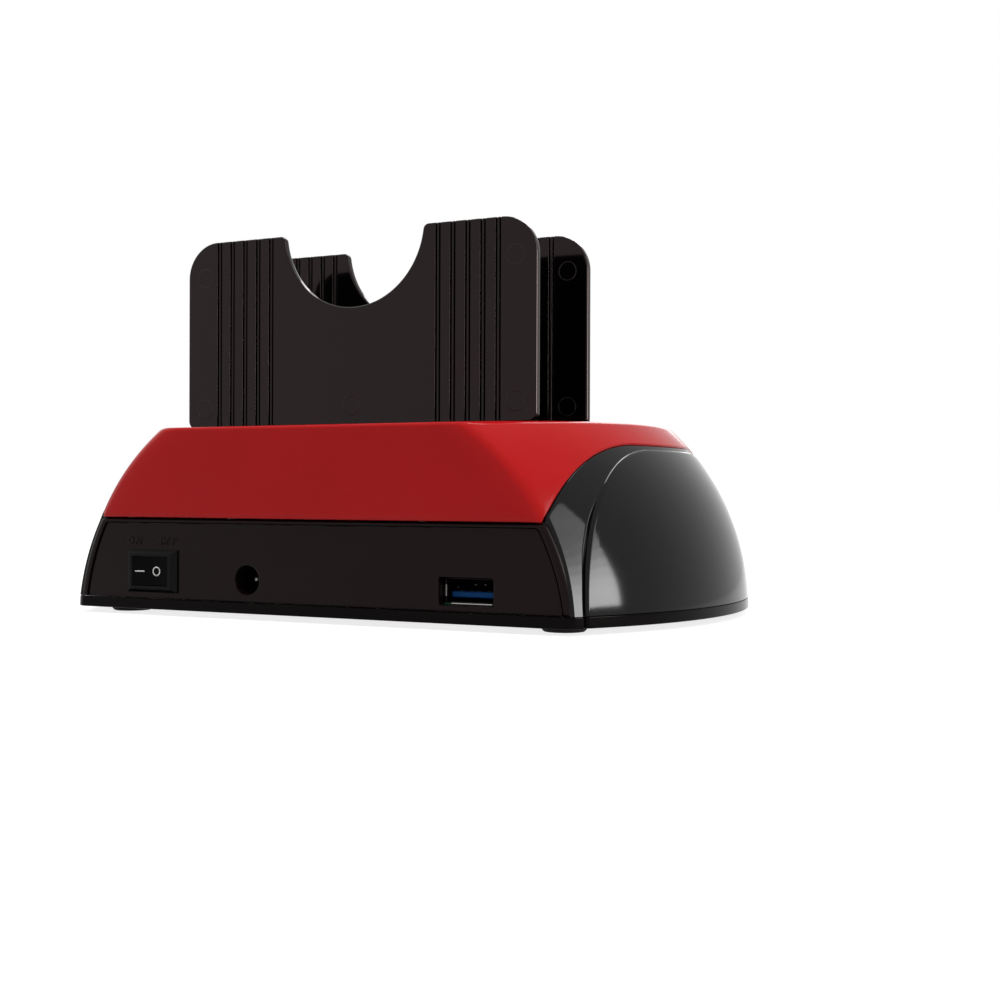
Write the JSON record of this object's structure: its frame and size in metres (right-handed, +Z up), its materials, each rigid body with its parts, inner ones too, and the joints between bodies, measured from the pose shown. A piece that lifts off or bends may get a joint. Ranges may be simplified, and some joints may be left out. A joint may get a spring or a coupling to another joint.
{
  "type": "hard drive docking station",
  "caption": "Docking station for bare hard drives: low base with bulging end caps, upright slotted bays, notched support plates, rocker switch and rear ports.",
  "frame": {"origin": "on the table under the middle of the base, at the underside of the feet", "axes": "+X along the wide side, +Y towards the rear face with the ports, +Z up"},
  "size_m": [0.17, 0.112, 0.0942],
  "materials": {
    "tray_black": "satin near-black",
    "foot_rubber": "matt black",
    "panel_black": "semi-gloss brownish black",
    "cover_red": "gloss red",
    "cap_smoke": "gloss smoky dark grey",
    "frame_black": "satin black",
    "plate_black": "semi-gloss black",
    "board_green": "solder mask green",
    "socket_black": "matt black",
    "contact_gold": "gold plated",
    "port_steel": "nickel plated",
    "port_blue": "blue",
    "switch_black": "satin black",
    "lead_red": "red insulation",
    "button_grey": "satin dark grey",
    "lamp_clear": "clear tinted",
    "coil_grey": "dark grey",
    "screw_steel": "zinc plated"
  },
  "bodies": {
    "dock": {"base_tray": "tray_black", "rubber_feet": "foot_rubber", "rear_panel": "panel_black", "front_panel": "panel_black", "top_cover": "cover_red", "end_cap_left": "cap_smoke", "end_cap_right": "cap_smoke", "bay_frame": "frame_black", "circuit_board": "board_green", "drive_socket_rear": "socket_black", "drive_socket_front": "socket_black", "socket_contacts_rear": "contact_gold", "socket_contacts_front": "contact_gold", "usb_shell": "port_steel", "usb_insulator": "port_blue", "usb_contacts": "contact_gold", "dc_inlet_body": "socket_black", "dc_inlet_pin": "port_steel", "switch_body": "switch_black", "switch_terminals": "contact_gold", "switch_leads": "lead_red", "tact_switch": "socket_black", "indicator_lamps": "lamp_clear", "lamp_leads": "port_steel", "bridge_chip": "socket_black", "driver_chips": "socket_black", "power_coils": "coil_grey", "capacitors": "coil_grey", "crystal": "port_steel", "case_screws": "screw_steel", "board_screws": "screw_steel", "frame_screws": "screw_steel"},
    "rear_plate": {"support_plate_rear": "plate_black"},
    "front_plate": {"support_plate_front": "plate_black"},
    "rocker": {"switch_rocker": "switch_black"},
    "button": {"backup_button": "button_grey", "tact_plunger": "socket_black"}
  },
  "joints": [
    {"name": "rocker_tip", "type": "hinge", "parent": "dock", "child": "rocker", "pos_m": [0.045, 0.0533, 0.0108], "axis": [0, 0, -1], "range_deg": [0, 18]},
    {"name": "rear_plate_lift", "type": "slide", "parent": "dock", "child": "rear_plate", "axis": [0, 0, 1], "range_m": [0, 0.012]},
    {"name": "front_plate_lift", "type": "slide", "parent": "dock", "child": "front_plate", "axis": [0, 0, 1], "range_m": [0, 0.012]},
    {"name": "button_press", "type": "slide", "parent": "dock", "child": "button", "axis": [0, 1, 0], "range_m": [0, 0.0008], "stiffness_N_per_m": 800}
  ]
}
